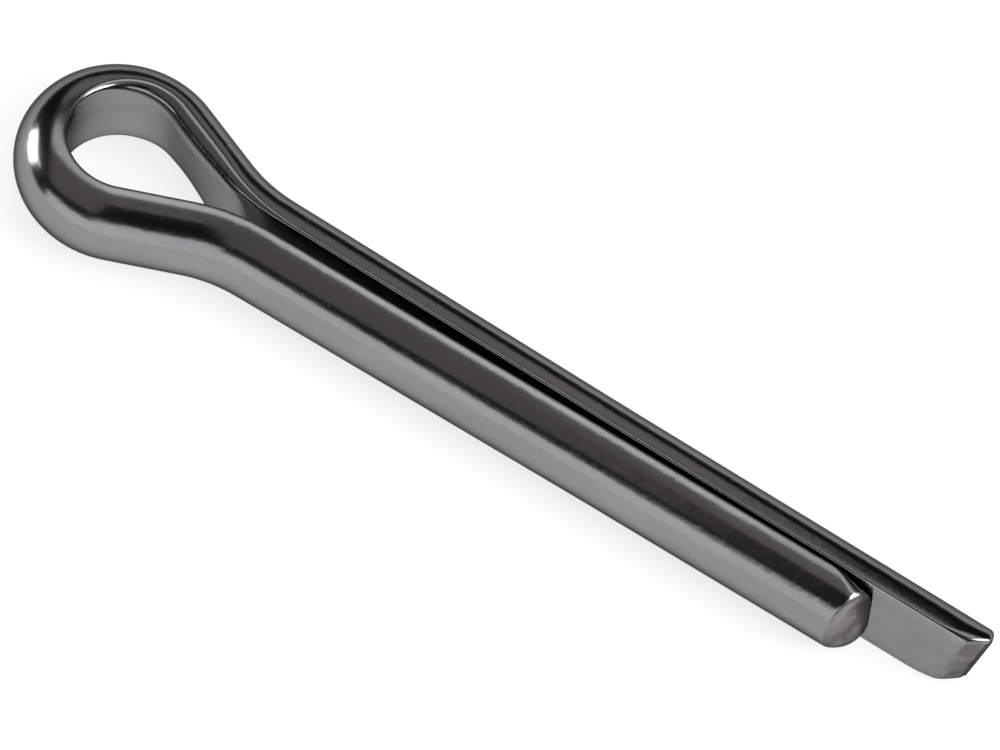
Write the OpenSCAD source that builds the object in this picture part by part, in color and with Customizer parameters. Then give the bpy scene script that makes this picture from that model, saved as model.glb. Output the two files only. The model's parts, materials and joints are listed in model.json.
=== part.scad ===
// Extended-prong cotter pin, bent from one piece of half-round wire.
// It lies flat on its side: X runs along the pin from the eye to the tips, and the
// eye and both legs lie in the XY plane. The origin is on the axis of the shank,
// at the neck, where the legs part to form the eye.

/* [Wire] */
// Radius of the wire's round side
crown_r = 3.6; // [3.2:0.05:4]
// Thickness of the wire, from its flat side to its crown
wire_t = 3.52; // [3.2:0.01:3.58]
// Rounding along the wire's two long edges
edge_r = 0.2; // [0.1:0.05:0.6]

/* [Eye] */
// Radius of the eye's inside
eye_r = 4.3; // [3.5:0.05:6]
// Angle between the pin's axis and each straight side of the eye
side_angle = 23.5; // [18:0.5:30]
// Radius of the neck bends, measured to the flat side of the wire
neck_r = 13.9; // [8:0.1:17]

/* [Legs] */
// Length of the short leg, from the neck to the middle of its flat side's end
short_leg_len = 50.6; // [40:0.1:80]
// How far the long leg runs past the short one
prong_extra = 8.3; // [3:0.1:20]
// Gap between the legs at the neck
neck_gap = 1.14; // [0.8:0.02:1.6]
// Length of the legs' first run, from the neck to the middle of the slight bend
first_run_len = 29; // [15:0.5:33]
// Gap between the legs at the middle of the slight bend
set_gap = 0.4; // [0.25:0.01:0.6]
// Gap between the legs at the short leg's end
tip_gap = 0.15; // [0.05:0.01:0.2]
// Radius of the slight bend between the two runs of a leg
set_bend_r = 300; // [150:10:600]

/* [Leg ends] */
// Angle that sets the crown of the short leg's end back from its flat side
short_cut_slant = 26; // [0:1:40]
// Angle that sets the upper edge of the short leg's end back from the lower one
short_cut_skew = 12; // [0:1:20]
// Length of the bevel on the flat side of the long leg's end
bevel_len = 1.7; // [0.5:0.1:3]
// Depth of that bevel
bevel_depth = 1.35; // [0.5:0.05:2]
// Chamfer round the crown at the long leg's end
crown_chamfer = 0.7; // [0.2:0.05:1.2]

/* [Hidden] */
$fn = 96;
// Room that a cutting block has past the wire on each side
cut_room = 3;
// How far each bend is drawn past its end before it is trimmed, in degrees
bend_spare = 2;

// Wire section: the crown's centre, and the centres of the edge roundings
crown_n = wire_t - crown_r;
edge_z = sqrt((crown_r - edge_r) ^ 2 - (edge_r - crown_n) ^ 2);
// Where an edge rounding meets the crown
edge_angle = atan2(edge_z, edge_r - crown_n);
edge_end = [crown_n + crown_r * cos(edge_angle), crown_r * sin(edge_angle)];

// Slope of each run of a leg against the pin's axis, and the turn between the two
first_slope = asin((neck_gap - set_gap) / 2 / first_run_len);
last_slope = asin((set_gap - tip_gap) / 2 / (short_leg_len - first_run_len));
set_turn = first_slope - last_slope;
// How far the slight bend reaches along each run
set_reach = set_bend_r * tan(set_turn / 2);

// Turn of the neck bend, and where the straight side of the eye begins
neck_turn = side_angle - first_slope;
side_y = neck_gap / 2 + neck_r * (cos(first_slope) - cos(side_angle));
side_len = (eye_r * cos(side_angle) - side_y) / sin(side_angle);

// Half-round wire: X points outwards from the flat side, Y runs across its width
module wire_section() {
    intersection() {
        translate([crown_n, 0])
            circle(r = crown_r);
        polygon([
            [0, -edge_z], [edge_end[0], -edge_end[1]], [wire_t + 1, -edge_end[1]],
            [wire_t + 1, edge_end[1]], edge_end, [0, edge_z]
        ]);
    }
    for (z = [-edge_z, edge_z])
        translate([edge_r, z])
            circle(r = edge_r);
}

// Straight wire along +X from the origin, with its crown towards +Y
module run(length) {
    rotate([90, 0, 90])
        linear_extrude(length)
            wire_section();
}

// A block that removes all the wire past x = 0
module trim_block(length) {
    translate([0, -wire_t - cut_room, -crown_r - cut_room])
        cube([length, 3 * wire_t + 2 * cut_room, 2 * (crown_r + cut_room)]);
}

// Axes at the end of a bend: X along the wire, Y towards its crown
module past_bend(radius, turn) {
    translate([0, radius, 0])
        rotate([0, 0, turn])
            translate([0, -radius, 0])
                children();
}

// Wire that starts along +X and turns towards its crown
module bend(radius, turn) {
    difference() {
        translate([0, radius, 0])
            rotate([0, 0, 270])
                rotate_extrude(angle = turn + bend_spare)
                    translate([radius, 0])
                        mirror([1, 0])
                            wire_section();
        past_bend(radius, turn)
            trim_block((radius + wire_t) * sin(bend_spare) + cut_room);
    }
}

// Half of the eye's round part, turning towards the flat side and past the middle
module bow_half() {
    translate([0, -eye_r, 0])
        mirror([1, 0, 0])
            rotate([0, 0, 90])
                rotate_extrude(angle = 90 + side_angle + bend_spare)
                    translate([eye_r, 0])
                        wire_section();
}

// Neck bend, straight side and half of the round part, from the neck along +X
module eye_half() {
    bend(neck_r, neck_turn);
    past_bend(neck_r, neck_turn) {
        run(side_len);
        translate([side_len, 0, 0])
            bow_half();
    }
}

// Leg from the neck along +X, drawn too long, with the children cut away from its end
module leg(length) {
    last_run_len = length - first_run_len - set_reach;
    run(first_run_len - set_reach);
    translate([first_run_len - set_reach, 0, 0]) {
        bend(set_bend_r, set_turn);
        past_bend(set_bend_r, set_turn)
            difference() {
                run(last_run_len + cut_room);
                translate([last_run_len, 0, 0])
                    children();
            }
    }
}

// Blocks for the long leg's end: square across, bevelled on the flat side, chamfered round the crown
module square_end() {
    trim_block(2 * cut_room);
    translate([-bevel_len, 0, 0])
        rotate([0, 0, atan2(bevel_depth, bevel_len)])
            translate([-cut_room, -2 * cut_room, -crown_r - cut_room])
                cube([4 * cut_room, 2 * cut_room, 2 * (crown_r + cut_room)]);
    translate([0, crown_n, 0])
        rotate([0, 90, 0])
            difference() {
                translate([0, 0, -2 * crown_chamfer])
                    cylinder(h = 3 * crown_chamfer, r = crown_r + cut_room);
                translate([0, 0, -3 * crown_chamfer])
                    cylinder(h = 5 * crown_chamfer, r1 = crown_r + 2 * crown_chamfer,
                             r2 = crown_r - 3 * crown_chamfer);
            }
}

// Block for the short leg's end: one slanting cut that leaves the flat side longest
module slanting_end() {
    rotate([0, 0, short_cut_slant])
        rotate([0, -short_cut_skew, 0])
            trim_block(2 * wire_t + cut_room);
}

// One side of the pin, from the middle of the eye to the end of its leg
module side(leg_len) {
    difference() {
        translate([0, neck_gap / 2, 0])
            rotate([0, 0, -first_slope]) {
                mirror([1, 0, 0])
                    eye_half();
                leg(leg_len)
                    children();
            }
        translate([-neck_r - side_len - 2 * eye_r - 2 * wire_t, -2 * wire_t, -2 * crown_r])
            cube([neck_r + side_len + 2 * eye_r + 2 * wire_t, 2 * wire_t, 4 * crown_r]);
    }
}

// The whole pin, which is one bent piece
module cotter_pin() {
    color("lightsteelblue") {
        side(short_leg_len + prong_extra)
            square_end();
        mirror([0, 1, 0])
            side(short_leg_len)
                slanting_end();
    }
}

cotter_pin();
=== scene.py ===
import json
from math import asin, atan2, cos, hypot, pi, radians, sin, sqrt, tan

import bmesh
import bpy
from mathutils import Matrix, Vector


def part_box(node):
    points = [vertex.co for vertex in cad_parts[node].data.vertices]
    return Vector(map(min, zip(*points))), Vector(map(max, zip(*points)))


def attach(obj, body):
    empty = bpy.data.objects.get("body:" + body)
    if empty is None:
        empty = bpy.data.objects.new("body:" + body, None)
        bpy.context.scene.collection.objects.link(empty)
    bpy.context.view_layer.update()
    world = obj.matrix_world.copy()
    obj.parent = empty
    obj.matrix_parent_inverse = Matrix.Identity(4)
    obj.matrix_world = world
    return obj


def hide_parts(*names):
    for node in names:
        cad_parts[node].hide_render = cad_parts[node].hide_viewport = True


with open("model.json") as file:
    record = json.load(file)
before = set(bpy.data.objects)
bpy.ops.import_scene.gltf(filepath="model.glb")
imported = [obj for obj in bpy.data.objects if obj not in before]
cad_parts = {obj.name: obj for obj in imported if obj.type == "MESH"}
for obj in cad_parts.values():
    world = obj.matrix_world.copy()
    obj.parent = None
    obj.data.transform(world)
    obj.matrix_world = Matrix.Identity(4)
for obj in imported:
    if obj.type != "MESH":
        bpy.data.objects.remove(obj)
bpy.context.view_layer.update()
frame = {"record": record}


# ---------------------------------------------------------------------------
# Cotter pin
# One length of half-round mild-steel wire, drawn through a die, bent round a
# former with its flat side inwards until the two legs meet, then sheared at
# both tips and zinc plated.
# ---------------------------------------------------------------------------
MM = 0.001
UP = Vector((0, 0, 1))

# Wire section
shank = next(m for m in frame["record"]["mounts"] if m["name"] == "shank")
crown_r = shank["dims"]["r_mm"] * MM
wire_t = 3.52 * MM
edge_r = 0.2 * MM

# Eye
eye_r = 4.3 * MM
side_angle = radians(23.5)
neck_r = 13.9 * MM

# Bending rolled the wire over and rounded its edges, most of all on the long
# leg's side of the eye: each by how much, where along the wire, and how far it
# spreads from there
roll_angle = radians(4.7)
roll_middle = 68.35 * MM
roll_reach = 5.1 * MM
eye_round = 0.97 * MM
eye_round_middle = 68.0 * MM
eye_round_reach = 12.1 * MM

# Legs
short_leg_len = 50.6 * MM
prong_extra = 8.3 * MM
neck_gap = 1.14 * MM
first_run_len = 29 * MM
set_gap = 0.4 * MM
tip_gap = 0.15 * MM
set_bend_r = 300 * MM

# Leg ends: the cuts, and how shearing and tumbling rounded what is next to them
short_cut_slant = radians(26)
short_cut_skew = radians(12)
bevel_len = 1.7 * MM
bevel_depth = 1.35 * MM
end_len = 5 * MM
tip_round = 0.8 * MM
tip_edge_round = 0.9 * MM
tip_edge_reach = 4 * MM
cut_edge_r = 0.42 * MM

# Centre of the crown, measured outwards from the flat side, the centres of the
# edge roundings, and where an edge rounding meets the crown
crown_n = wire_t - crown_r
edge_z = sqrt((crown_r - edge_r) ** 2 - (edge_r - crown_n) ** 2)
edge_angle = atan2(edge_z, edge_r - crown_n)

# Slopes of a leg's two runs, and what the bends between them turn and take up
first_slope = asin((neck_gap - set_gap) / 2 / first_run_len)
last_slope = asin((set_gap - tip_gap) / 2 / (short_leg_len - first_run_len))
set_turn = first_slope - last_slope
set_reach = set_bend_r * tan(set_turn / 2)
neck_turn = side_angle - first_slope
side_y = neck_gap / 2 + neck_r * (cos(first_slope) - cos(side_angle))
side_len = (eye_r * cos(side_angle) - side_y) / sin(side_angle)
bow_turn = pi + 2 * side_angle

# Lengths of the straight runs of the legs, and of the whole wire
first_straight = first_run_len - set_reach
short_last = short_leg_len - first_run_len - set_reach
long_last = short_last + prong_extra
wire_len = (long_last + short_last
            + 2 * (set_bend_r * set_turn + first_straight + side_len + neck_r * neck_turn)
            + eye_r * bow_turn)

# Points closer than the first are one point, and points closer than the second
# to a part of the section lie on it
weld = 0.001 * MM
on_part = 0.002 * MM


def heading(angle):
    """The direction in the pin's plane at an angle from +X."""
    return Vector((cos(angle), sin(angle), 0))


class Stroke:
    """The open end of a line or of a wire that is being drawn: it goes straight on, or turns."""

    def __init__(self, place, direction, axis):
        self.place = place.copy()
        self.direction = direction.copy()
        self.axis = axis.copy()
        self.length = 0

    def straight(self, length, steps):
        """Goes straight on."""
        for _ in range(steps):
            step = self.direction * (length / steps)
            bpy.ops.mesh.extrude_region_move(TRANSFORM_OT_translate={"value": step})
            self.place += step
            self.mark(length / steps)

    def turn(self, radius, angle, steps):
        """Turns by an angle about the axis, round a centre on the side that it turns to."""
        side = self.axis.cross(self.direction) * (1 if angle > 0 else -1)
        centre = self.place + side * radius
        swing = Matrix.Rotation(angle / steps, 3, self.axis)
        for _ in range(steps):
            bpy.ops.mesh.spin(steps=1, angle=-angle / steps, center=centre, axis=self.axis)
            self.place = centre + swing @ (self.place - centre)
            self.direction = swing @ self.direction
            self.mark(radius * abs(angle) / steps)

    def mark(self, step):
        """Counts the length of one more step."""
        self.length += step


def hump(length, middle, reach):
    """Rises from 0 to 1 at a middle, and falls to 0 again."""
    return (1 + cos(pi * min(abs(length - middle) / reach, 1))) / 2


def size_at(length):
    """The size of the section near the short leg's rounded tip, against its full size."""
    off = min(wire_len - length, tip_round)
    return 1 - (tip_round - sqrt(tip_round ** 2 - (tip_round - off) ** 2)) / crown_r


def edge_at(length):
    """The rounding of the wire's long edges at a length along it."""
    eye = hump(length, eye_round_middle, eye_round_reach)
    tips = hump(length, 0, tip_edge_reach) + hump(length, wire_len, tip_edge_reach)
    return edge_r + eye_round * eye + tip_edge_round * tips


def roll_at(length):
    """How far the wire is rolled over at a length along it."""
    return -roll_angle * hump(length, roll_middle, roll_reach)


def rounded(n, z, edge):
    """Where a point of the section lies when its two edges are rounded to another radius."""
    new_z = sqrt((crown_r - edge) ** 2 - (edge - crown_n) ** 2)
    new_angle = atan2(new_z, edge - crown_n)
    if n < on_part:
        return 0, z * new_z / edge_z
    if hypot(n - crown_n, z) > crown_r - on_part:
        angle = atan2(z, n - crown_n) * new_angle / edge_angle
        return crown_n + crown_r * cos(angle), crown_r * sin(angle)
    angle = atan2(abs(z) - edge_z, n - edge_r)
    angle = pi - (pi - angle) * (pi - new_angle) / (pi - edge_angle)
    return edge + edge * cos(angle), (new_z + edge * sin(angle)) * (1 if z > 0 else -1)


class Wire(Stroke):
    """The open end of the wire, which is shaped as it goes."""

    def mark(self, step):
        """Notes on the newest ring how far along the straight wire it was, and shapes it."""
        self.length += step
        bpy.ops.mesh.attribute_set(value_float=self.length)
        self.shape()

    def shape(self):
        """Puts each point of the newest ring where the wire's section is at this length."""
        size = size_at(self.length)
        edge = edge_at(self.length)
        outwards = self.direction.cross(UP)
        rolled = Matrix.Rotation(roll_at(self.length), 3, self.direction)
        mesh = bmesh.from_edit_mesh(pin.data)
        section = mesh.verts.layers.float_vector["section"]
        skin = mesh.verts.layers.float_vector["skin"]
        for vertex in mesh.verts:
            if vertex.select:
                n, z = rounded(vertex[section].y, vertex[section].z, edge)
                vertex[skin] = (0, n, z)
                spot = outwards * (crown_n + (n - crown_n) * size) + UP * (z * size)
                vertex.co = self.place + rolled @ spot
        bmesh.update_edit_mesh(pin.data)


# One point in the middle of the flat side, at the long leg's tip, starts the outline
neck = Vector((0, neck_gap / 2, 0))
long_out = heading(-last_slope)
tip = (neck + heading(-first_slope) * first_run_len
       + long_out * (short_leg_len + prong_extra - first_run_len))

bpy.ops.object.select_all(action="DESELECT")
bpy.ops.mesh.primitive_plane_add(size=edge_r, location=tip)
pin = bpy.context.object
pin.name = "pin_wire"
bpy.ops.object.transform_apply(location=True, rotation=True, scale=True)
bpy.ops.object.mode_set(mode="EDIT")
bpy.ops.mesh.select_mode(type="VERT")
bpy.ops.mesh.select_all(action="SELECT")
bpy.ops.mesh.merge(type="CENTER")
bpy.ops.mesh.select_all(action="SELECT")

# The section's outline, drawn round from there and filled
outline = Stroke(tip, -UP, -long_out)
outline.straight(edge_z, steps=4)
outline.turn(edge_r, edge_angle - pi, steps=6)
outline.turn(crown_r, -2 * edge_angle, steps=56)
outline.turn(edge_r, edge_angle - pi, steps=6)
outline.straight(edge_z, steps=4)
bpy.ops.mesh.select_all(action="SELECT")
bpy.ops.mesh.remove_doubles(threshold=weld)
bpy.ops.mesh.edge_face_add()

# Each point keeps its place on this drawn section along the whole wire. For the
# material it also gets its place on the skin, with the edges rounded, and its
# length along the wire.
bpy.ops.object.mode_set(mode="OBJECT")
outwards = UP.cross(long_out)
section = pin.data.attributes.new("section", "FLOAT_VECTOR", "POINT")
for vertex, place in zip(pin.data.vertices, section.data):
    spot = vertex.co - tip
    place.vector = (0, spot.dot(outwards), spot.z)
pin.data.attributes.new("skin", "FLOAT_VECTOR", "POINT")
pin.data.attributes.new("along", "FLOAT", "POINT")
pin.data.attributes.active_index = list(pin.data.attributes.keys()).index("along")
bpy.ops.object.mode_set(mode="EDIT")
bpy.ops.mesh.select_mode(type="FACE")
bpy.ops.mesh.select_all(action="SELECT")

# The wire, from the long leg's tip round the eye to the short leg's tip. The bevel
# cuts through the first step, which is left long.
wire = Wire(tip, -long_out, UP)
wire.shape()
wire.straight(end_len / 2, steps=1)
wire.straight(end_len / 2, steps=3)
wire.straight(long_last - end_len, steps=24)
wire.turn(set_bend_r, -set_turn, steps=2)
wire.straight(first_straight, steps=28)
wire.turn(neck_r, -neck_turn, steps=14)
wire.straight(side_len, steps=14)
wire.turn(eye_r, bow_turn, steps=64)
wire.straight(side_len, steps=6)
wire.turn(neck_r, -neck_turn, steps=10)
wire.straight(first_straight, steps=28)
wire.turn(set_bend_r, -set_turn, steps=2)
wire.straight(short_last - end_len, steps=16)
wire.straight(end_len - tip_round, steps=8)
wire.straight(tip_round, steps=10)
short_tip = wire.place

# The long leg's tip, which lies past the short one, has a bevel on its flat side
past_short = short_tip.x + 2 * MM
bevel_angle = atan2(bevel_depth, bevel_len)
bpy.ops.mesh.select_all(action="DESELECT")
bpy.ops.object.mode_set(mode="OBJECT")
for face in pin.data.polygons:
    face.select = face.center.x > past_short
bpy.ops.object.mode_set(mode="EDIT")
bpy.ops.mesh.bisect(plane_co=tip - long_out * bevel_len,
                    plane_no=long_out * sin(bevel_angle) - outwards * cos(bevel_angle),
                    use_fill=True, clear_outer=True, threshold=weld / 10)

# Its two cut faces, which are far larger than any other there, get rounded rims
cut_area = 5 * MM ** 2
bpy.ops.mesh.select_all(action="DESELECT")
bpy.ops.object.mode_set(mode="OBJECT")
for face in pin.data.polygons:
    face.select = face.center.x > past_short and face.area > cut_area
bpy.ops.object.mode_set(mode="EDIT")
bpy.ops.mesh.select_mode(type="EDGE")
bpy.ops.mesh.bevel(offset=cut_edge_r, segments=5, affect="EDGES")
bpy.ops.object.mode_set(mode="OBJECT")

# The short leg's tip slants back from its flat side, and from its lower edge to its upper one
short_out = heading(last_slope)
short_side = short_out.cross(UP)
short_start = short_tip - short_out * end_len
for vertex in pin.data.vertices:
    reach = (vertex.co - short_start).dot(short_out) / end_len
    if vertex.co.y < 0 and reach > 0:
        spot = vertex.co - short_tip
        back = (tan(short_cut_slant) * spot.dot(short_side)
                + tan(short_cut_skew) / cos(short_cut_slant) * spot.z)
        vertex.co -= short_out * back * min(reach, 1)

bpy.ops.object.mode_set(mode="EDIT")
bpy.ops.mesh.select_all(action="SELECT")
bpy.ops.mesh.remove_doubles(threshold=weld)
bpy.ops.mesh.normals_make_consistent(inside=False)
bpy.ops.object.mode_set(mode="OBJECT")
bpy.ops.object.shade_smooth_by_angle(angle=radians(35))

# The material finds the faces that the shear left by a mark: they look along +X, at the tips
shear_facing = 0.4
sheared = pin.data.attributes.new("sheared", "FLOAT", "FACE")
for face, mark in zip(pin.data.polygons, sheared.data):
    mark.value = face.normal.x > shear_facing and face.center.x > short_tip.x - end_len


def node(tree, kind, **settings):
    """A new node of a kind, with its settings."""
    made = tree.nodes.new("ShaderNode" + kind)
    for name, value in settings.items():
        setattr(made, name, value)
    return made


def feed(tree, target, **sources):
    """Links sockets to the inputs of a node, or sets plain values on them.

    An input goes by its name with _ for each space, or by i and its number.
    """
    for name, source in sources.items():
        by_number = name[1:].isdigit()
        socket = target.inputs[int(name[1:]) if by_number else name.replace("_", " ")]
        if isinstance(source, bpy.types.NodeSocket):
            tree.links.new(source, socket)
        else:
            socket.default_value = source
    return target


def maths(tree, operation, first, second):
    """The output of one step of arithmetic."""
    return feed(tree, node(tree, "Math", operation=operation), i0=first, i1=second).outputs[0]


def plus(tree, base, value, share):
    """A base value with a share of another value added."""
    return maths(tree, "ADD", base, maths(tree, "MULTIPLY", value, share))


def span(tree, value, low, high):
    """Maps a value smoothly from a range to 0 to 1, and stops at its ends."""
    made = node(tree, "MapRange", interpolation_type="SMOOTHSTEP")
    return feed(tree, made, Value=value, From_Min=low, From_Max=high, To_Min=0.0,
                To_Max=1.0).outputs[0]


def mix(tree, share, first, second):
    """One colour with a share of another mixed in."""
    made = node(tree, "Mix", data_type="RGBA")
    return feed(tree, made, A=first, B=second, Factor=share).outputs["Result"]


def bump(tree, height, strength, depth, **under):
    """The normal that a height gives, over an earlier bump's Normal if there is one."""
    made = node(tree, "Bump")
    return feed(tree, made, Height=height, Strength=strength, Distance=depth, **under).outputs[0]


def noise(tree, vector, size, detail, roughness=0.5):
    """Noise with features of about a size, in metres."""
    return feed(tree, node(tree, "TexNoise"), Vector=vector, Scale=1 / size, Detail=detail,
                Roughness=roughness).outputs["Fac"]


def drawn_out(tree, vector, scale):
    """Places with their first axis scaled down, which draws a pattern out along it."""
    made = node(tree, "VectorMath", operation="MULTIPLY")
    return feed(tree, made, i0=vector, i1=(scale, 1, 1)).outputs[0]


def group(name, outputs):
    """A new node group that reads places on the unbent wire, with its input and its end."""
    tree = bpy.data.node_groups.new(name, "ShaderNodeTree")
    tree.interface.new_socket("Wire", in_out="INPUT", socket_type="NodeSocketVector")
    for label in outputs:
        tree.interface.new_socket(label, in_out="OUTPUT", socket_type="NodeSocketFloat")
    given = tree.nodes.new("NodeGroupInput").outputs["Wire"]
    return tree, given, tree.nodes.new("NodeGroupOutput")


# Die lines: fine and broad grooves of uneven depth that follow the wire
fine_groove = 0.10 * MM
broad_groove = 0.45 * MM
lines, given, result = group("die_lines", ["Height"])
fine = noise(lines, drawn_out(lines, given, 0.012), fine_groove, detail=2)
broad = noise(lines, drawn_out(lines, given, 0.02), broad_groove, detail=1)
feed(lines, result, Height=plus(lines, broad, fine, share=0.4))

# Handling: shallow dents from tumbling against other pins, and thin scratches that run
# two ways over the wire, in patches
dent_size = 1.3 * MM
scratch_width = 0.22 * MM
scratch_patch = 2.5 * MM
scratch_turns = ((0.35, 0.245, 0.35), (-0.5, -0.35, -0.5))
handling, given, result = group("handling", ["Dents", "Scratches"])
dents = span(handling, noise(handling, given, dent_size, detail=2), low=0.38, high=0.62)
scratches = []
for scratch_turn in scratch_turns:
    turned = feed(handling, node(handling, "VectorRotate", rotation_type="EULER_XYZ"),
                  Vector=given, Rotation=scratch_turn).outputs[0]
    thin = noise(handling, drawn_out(handling, turned, 0.03), scratch_width, detail=0)
    streaks = span(handling, thin, low=0.70, high=0.78)
    patches = span(handling, noise(handling, turned, scratch_patch, detail=1), low=0.50, high=0.62)
    scratches.append(maths(handling, "MULTIPLY", streaks, patches))
feed(handling, result, Dents=dents, Scratches=maths(handling, "MAXIMUM", *scratches))

# Plating: bright zinc with a faint cloudiness and a fine speck
cloud_size = 2.6 * MM
speck_size = 0.16 * MM
plating, given, result = group("plating", ["Cloud", "Speck"])
cloud = noise(plating, drawn_out(plating, given, 0.35), cloud_size, detail=3, roughness=0.6)
speck = noise(plating, given, speck_size, detail=2, roughness=0.6)
feed(plating, result, Cloud=cloud, Speck=speck)

# Zinc plate on the steel, which darkens where it is seen at a slant. Its patterns lie on
# the wire as if it were unbent: along it, outwards from its flat side, and across.
zinc_dark = (0.285, 0.295, 0.295, 1)
zinc_light = (0.345, 0.345, 0.34, 1)
slant_tint = (0.2, 0.2, 0.2, 1)
zinc = bpy.data.materials.new("zinc_plate")
zinc.use_nodes = True
tree = zinc.node_tree
shader = tree.nodes["Principled BSDF"]
skin = feed(tree, node(tree, "SeparateXYZ"),
            Vector=node(tree, "Attribute", attribute_name="skin").outputs["Vector"]).outputs
along = node(tree, "Attribute", attribute_name="along").outputs["Fac"]
unbent = feed(tree, node(tree, "CombineXYZ"), X=along, Y=skin["Y"], Z=skin["Z"]).outputs[0]


def on_wire(name):
    """What a group gives on the unbent wire."""
    made = node(tree, "Group")
    made.node_tree = bpy.data.node_groups[name]
    return feed(tree, made, Wire=unbent).outputs


drawn, worn, plated = on_wire("die_lines"), on_wire("handling"), on_wire("plating")
tone = node(tree, "ValToRGB")
dark_end, light_end = tone.color_ramp.elements
dark_end.position, dark_end.color = 0.3, zinc_dark
light_end.position, light_end.color = 0.72, zinc_light
feed(tree, tone, Fac=plated["Cloud"])

# On the sheared faces the steel was torn, so the zinc there is mottled, uneven and duller
torn_dark = (0.26, 0.25, 0.235, 1)
torn_light = (0.39, 0.38, 0.36, 1)
torn_grain = 1.5 * MM
sheared = node(tree, "Attribute", attribute_name="sheared").outputs["Fac"]
place = node(tree, "TexCoord").outputs["Object"]
torn = noise(tree, place, torn_grain, detail=1, roughness=0.4)
mottled = mix(tree, span(tree, torn, low=0.35, high=0.65), torn_dark, torn_light)
colour = mix(tree, maths(tree, "MULTIPLY", sheared, 0.85), tone.outputs[0], mottled)

rough = plus(tree, 0.15, plated["Cloud"], share=0.06)
rough = plus(tree, rough, worn["Scratches"], share=0.08)
rough = plus(tree, rough, sheared, share=0.12)

height = maths(tree, "MULTIPLY", drawn["Height"], 0.5)
height = plus(tree, height, plated["Speck"], share=0.05)
height = plus(tree, height, worn["Scratches"], share=-0.1)
normal = bump(tree, height, 0.6, 0.004 * MM)
normal = bump(tree, worn["Dents"], 0.5, 0.008 * MM, Normal=normal)
normal = bump(tree, torn, maths(tree, "MULTIPLY", sheared, 0.7), 0.04 * MM, Normal=normal)

feed(tree, shader, Base_Color=colour, Metallic=1.0, Specular_Tint=slant_tint,
     Roughness=rough, Normal=normal)
pin.data.materials.append(zinc)

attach(pin, "root")
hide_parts("cotter_pin")


# ---------------------------------------------------------------------------
# Floor
# A sheet of matt white paper, laid flat under the pin and far past it on every
# side. It takes the pin's shadow, and shows white around the pin and in it.
# ---------------------------------------------------------------------------
floor_width = 4
paper_dark = (0.96, 0.96, 0.96, 1)
paper_light = (0.98, 0.98, 0.98, 1)
paper_cloud = 30 * MM
paper_grain = 0.8 * MM
# The share of the paper that glows around the pin and in the metal, and how much less
# strongly it glows in the metal
seen_share = 0.8
mirrored_share = 0.9
mirrored_loss = 0.16

floor_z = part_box("cotter_pin")[0].z
bpy.ops.object.select_all(action="DESELECT")
bpy.ops.mesh.primitive_plane_add(size=floor_width, location=(0, 0, floor_z))
floor = bpy.context.object
floor.name = "floor"
bpy.ops.object.transform_apply(location=True, rotation=True, scale=True)

paper = bpy.data.materials.new("white_paper")
paper.use_nodes = True
tree = paper.node_tree
shader = tree.nodes["Principled BSDF"]
place = node(tree, "TexCoord").outputs["Object"]
white = mix(tree, noise(tree, place, paper_cloud, detail=2), paper_dark, paper_light)
normal = bump(tree, noise(tree, place, paper_grain, detail=3), 0.1, 0.02 * MM)
feed(tree, shader, Base_Color=white, Roughness=0.9, Specular_IOR_Level=0.0, Normal=normal)

path = node(tree, "LightPath").outputs
mirrored = maths(tree, "MAXIMUM", path["Is Glossy Ray"], path["Is Transmission Ray"])
glow = feed(tree, node(tree, "Emission"), Color=white,
            Strength=plus(tree, 1.0, mirrored, share=-mirrored_loss))
share = maths(tree, "MAXIMUM", maths(tree, "MULTIPLY", path["Is Camera Ray"], seen_share),
              maths(tree, "MULTIPLY", mirrored, mirrored_share))
mixed = feed(tree, node(tree, "MixShader"), i0=share, i1=shader.outputs[0], i2=glow.outputs[0])
feed(tree, tree.nodes["Material Output"], Surface=mixed.outputs[0])
floor.data.materials.append(paper)


# ---------------------------------------------------------------------------
# Light
# A softbox past each end of the pin, and long cards of light in front of it,
# over it and behind it, which the metal mirrors as bands. A wide ceiling,
# which the metal doesn't mirror, lights the paper.
# ---------------------------------------------------------------------------
dim = 0.006
pin_middle = 0.02
card_away = 0.5
white_light = (1, 1, 1)
cool_light = (0.97, 1, 1)
warm_light = (1, 0.95, 0.88)
warm_back_light = (1, 0.96, 0.9)

world = bpy.data.worlds.new("studio")
bpy.context.scene.world = world
world.use_nodes = True
world.node_tree.nodes["Background"].inputs["Color"].default_value = (dim, dim, dim, 1)
world.node_tree.nodes["Background"].inputs["Strength"].default_value = 1


def softbox(name, place, width, height, radiance, colour=white_light, aim_x=pin_middle):
    """A soft lamp that faces a point of the pin's axis."""
    lamp = bpy.data.lights.new(name, "AREA")
    lamp.shape = "RECTANGLE"
    lamp.size = width
    lamp.size_y = height
    lamp.color = colour
    lamp.energy = radiance * pi * width * height
    box = bpy.data.objects.new(name, lamp)
    bpy.context.scene.collection.objects.link(box)
    box.location = place
    facing = Vector((aim_x, 0, 0)) - Vector(place)
    box.rotation_euler = facing.to_track_quat("-Z", "Y").to_euler()
    return box


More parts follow.
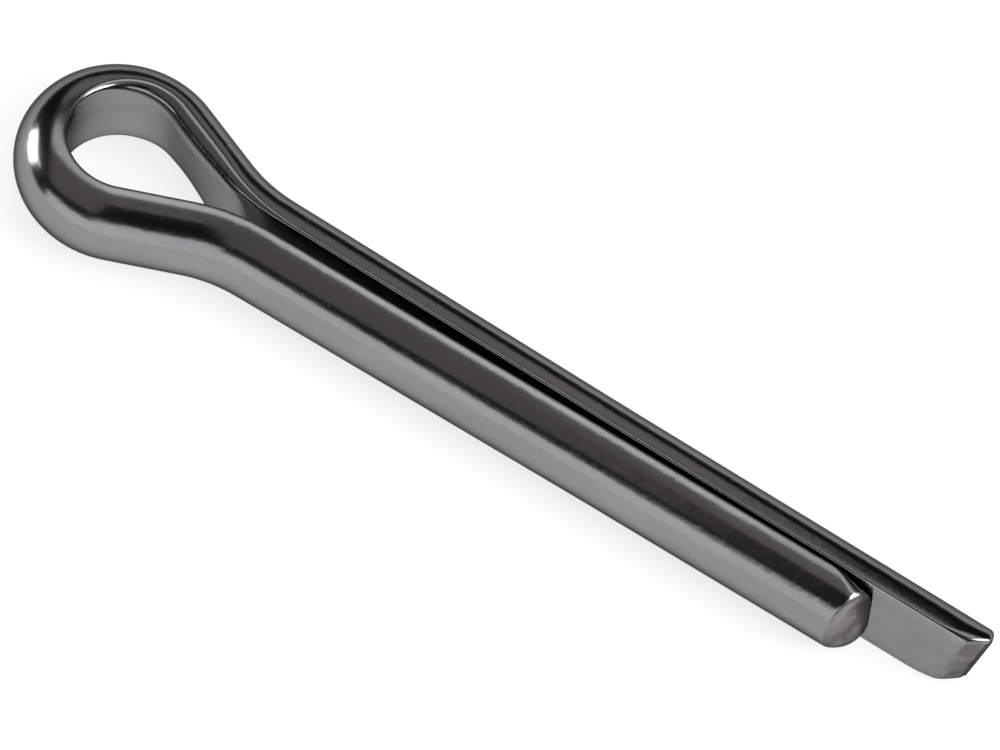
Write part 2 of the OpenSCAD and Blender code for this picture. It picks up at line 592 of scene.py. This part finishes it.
def card(name, left, right, low, high, radiance, colour=white_light):
    """A soft lamp from left to right in X, and from a low to a high angle over the pin.

    The angles are in degrees, and count up from the front.
    """
    middle_x = (left + right) / 2
    middle = radians((low + high) / 2)
    height = 2 * card_away * tan(radians(high - low) / 2)
    softbox(name, (middle_x, -card_away * cos(middle), card_away * sin(middle)),
            right - left, height, radiance, colour, aim_x=middle_x)


ceiling = softbox("ceiling", (pin_middle, 0, 0.7), 1.0, 1.0, 1.9)
ceiling.visible_glossy = False
softbox("left_softbox", (-0.54, -0.07, 0.09), 0.22, 0.20, 8.5)
softbox("right_softbox", (0.50, 0.02, 0.35), 0.30, 0.28, 11.0)
card("front_card", -0.45, 0.055, -4, 22, 1.05, cool_light)
card("front_card_right", 0.055, 0.45, -4, 30, 1.05, cool_light)
card("front_wall", -0.50, 0.035, 40, 94, 0.17, warm_light)
card("front_wall_right", 0.035, 0.50, 72, 94, 0.24, warm_light)
card("top_strip", -0.45, 0.45, 96, 116, 0.85)
card("top_lamp", -0.10, 0.04, 97, 112, 0.4)
card("back_wall", -0.50, 0.06, 128, 158, 0.28, warm_back_light)
card("back_wall_right", 0.06, 0.50, 108, 138, 0.3, warm_back_light)


# ---------------------------------------------------------------------------
# Camera
# A long lens, high in front of the pin and rolled over, so that the pin lies
# from corner to corner. Everything is sharp, and colours show as they are.
# ---------------------------------------------------------------------------
aim = Vector((19.29, 1.15, 0)) * MM
azimuth = radians(9.12)
elevation = radians(58.67)
roll = radians(23.34)
distance = 240 * MM
lens = bpy.data.cameras.new("camera")
lens.lens = 120.23
lens.sensor_width = 36
lens.clip_start = 0.01
camera = bpy.data.objects.new("camera", lens)
bpy.context.scene.collection.objects.link(camera)
back = Vector((sin(azimuth) * cos(elevation), -cos(azimuth) * cos(elevation), sin(elevation)))
camera.location = aim + back * distance
level = (-back).to_track_quat("-Z", "Y").to_matrix()
camera.rotation_euler = (Matrix.Rotation(roll, 3, back) @ level).to_euler()
bpy.context.scene.camera = camera
bpy.context.scene.view_settings.view_transform = "Standard"
